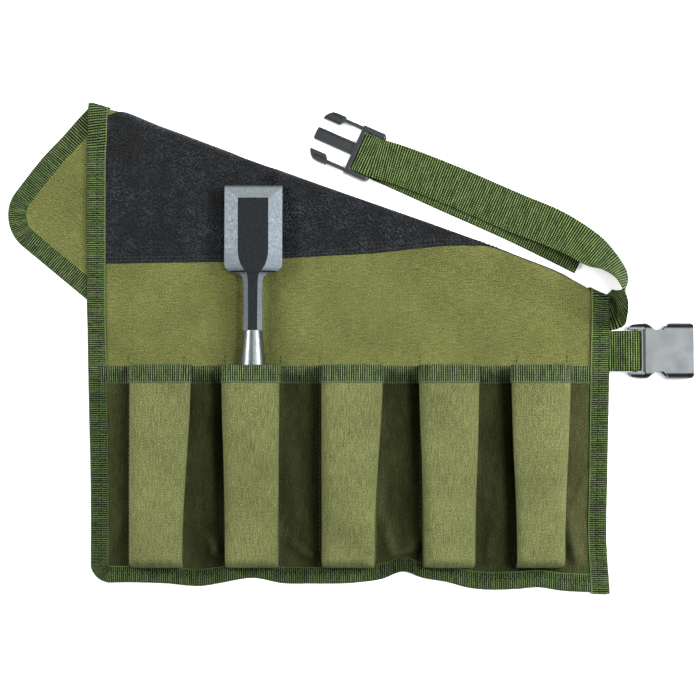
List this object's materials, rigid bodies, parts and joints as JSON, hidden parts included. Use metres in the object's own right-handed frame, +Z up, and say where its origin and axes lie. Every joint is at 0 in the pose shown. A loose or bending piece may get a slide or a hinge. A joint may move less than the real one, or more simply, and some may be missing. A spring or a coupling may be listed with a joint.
{
  "type": "carving tool roll",
  "caption": "Canvas tool roll with box pockets, a leather blade guard, a folded-back flap, taped edges, a webbing strap with a side-release buckle and a chisel in a pocket.",
  "frame": {"origin": "on the table, under the middle of the open roll's outline", "axes": "+X across the pockets towards the side with the strap and buckles, +Y from the pockets towards the blades, +Z up from the table"},
  "size_m": [0.428, 0.3062, 0.0258],
  "materials": {
    "canvas": "olive waxed-look cotton canvas",
    "pocket_cloth": "olive twill",
    "binding_tape": "ribbed grosgrain tape",
    "webbing": "ribbed polypropylene webbing",
    "leather": "soft pebbled grain",
    "buckle_plastic": "fine matt texture",
    "blade_steel": "ground bevels, black scale centre",
    "ferrule_steel": "turned bright",
    "handle_wood": "oiled oak",
    "hoop_iron": "blackened"
  },
  "bodies": {
    "section_1": {"canvas_body_1": "canvas", "blade_guard_1": "leather", "pocket_strip_1": "pocket_cloth", "mouth_binding_1": "binding_tape", "edge_binding_1": "binding_tape"},
    "section_2": {"canvas_body_2": "canvas", "blade_guard_2": "leather", "pocket_strip_2": "pocket_cloth", "mouth_binding_2": "binding_tape", "edge_binding_2": "binding_tape"},
    "section_3": {"canvas_body_3": "canvas", "blade_guard_3": "leather", "pocket_strip_3": "pocket_cloth", "mouth_binding_3": "binding_tape", "edge_binding_3": "binding_tape"},
    "section_4": {"canvas_body_4": "canvas", "blade_guard_4": "leather", "pocket_strip_4": "pocket_cloth", "mouth_binding_4": "binding_tape", "edge_binding_4": "binding_tape", "side_binding_4": "binding_tape"},
    "section_5": {"canvas_body_5": "canvas", "blade_guard_5": "leather", "pocket_strip_5": "pocket_cloth", "mouth_binding_5": "binding_tape", "edge_binding_5": "binding_tape", "side_binding_5": "binding_tape", "strap_sewn_end": "webbing", "buckle_webbing": "webbing"},
    "strap": {"webbing_strap": "webbing"},
    "male_buckle": {"male_buckle_frame": "buckle_plastic"},
    "prong_lower": {"male_prong_lower": "buckle_plastic"},
    "prong_upper": {"male_prong_upper": "buckle_plastic"},
    "female_buckle": {"female_buckle": "buckle_plastic"},
    "chisel": {"chisel_blade": "blade_steel", "chisel_ferrule": "ferrule_steel", "chisel_handle": "handle_wood", "chisel_hoop": "hoop_iron"}
  },
  "joints": [
    {"name": "roll_4", "type": "hinge", "parent": "section_5", "child": "section_4", "pos_m": [0.08995, 0, 0.004], "axis": [0, 1, 0], "range_deg": [0, 58]},
    {"name": "roll_3", "type": "hinge", "parent": "section_4", "child": "section_3", "pos_m": [0.02935, 0, 0.004], "axis": [0, 1, 0], "range_deg": [0, 58]},
    {"name": "roll_2", "type": "hinge", "parent": "section_3", "child": "section_2", "pos_m": [-0.03125, 0, 0.004], "axis": [0, 1, 0], "range_deg": [0, 58]},
    {"name": "roll_1", "type": "hinge", "parent": "section_2", "child": "section_1", "pos_m": [-0.09185, 0, 0.004], "axis": [0, 1, 0], "range_deg": [0, 58]},
    {"name": "chisel_slide", "type": "slide", "parent": "section_2", "child": "chisel", "axis": [0, 1, 0], "range_m": [0, 0.125]},
    {"name": "strap_lift", "type": "hinge", "parent": "section_5", "child": "strap", "pos_m": [0.1708, 0.0142, 0.0024], "axis": [-0.3827, -0.9239, 0], "range_deg": [-25, 0]},
    {"name": "male_buckle_tilt", "type": "hinge", "parent": "strap", "child": "male_buckle", "pos_m": [0.0072, 0.1234, 0.0039], "axis": [-0.4083, -0.9128, 0], "range_deg": [-10, 0]},
    {"name": "prong_lower_squeeze", "type": "hinge", "parent": "male_buckle", "child": "prong_lower", "pos_m": [-0.00384, 0.11267, 0.0039], "axis": [0, 0, -1], "range_deg": [0, 8], "stiffness_Nm_per_rad": 0.2},
    {"name": "prong_upper_squeeze", "type": "hinge", "parent": "male_buckle", "child": "prong_upper", "pos_m": [0.00784, 0.13878, 0.0039], "axis": [0, 0, 1], "range_deg": [0, 8], "stiffness_Nm_per_rad": 0.2},
    {"name": "female_buckle_tilt", "type": "hinge", "parent": "section_5", "child": "female_buckle", "pos_m": [0.1785, -0.0016, 0.0048], "axis": [0, 1, 0], "range_deg": [-35, 0]}
  ],
  "couplings": [
    {"joint": "roll_3", "follows": "roll_4", "ratio": 1},
    {"joint": "roll_2", "follows": "roll_4", "ratio": 1},
    {"joint": "roll_1", "follows": "roll_4", "ratio": 1}
  ]
}
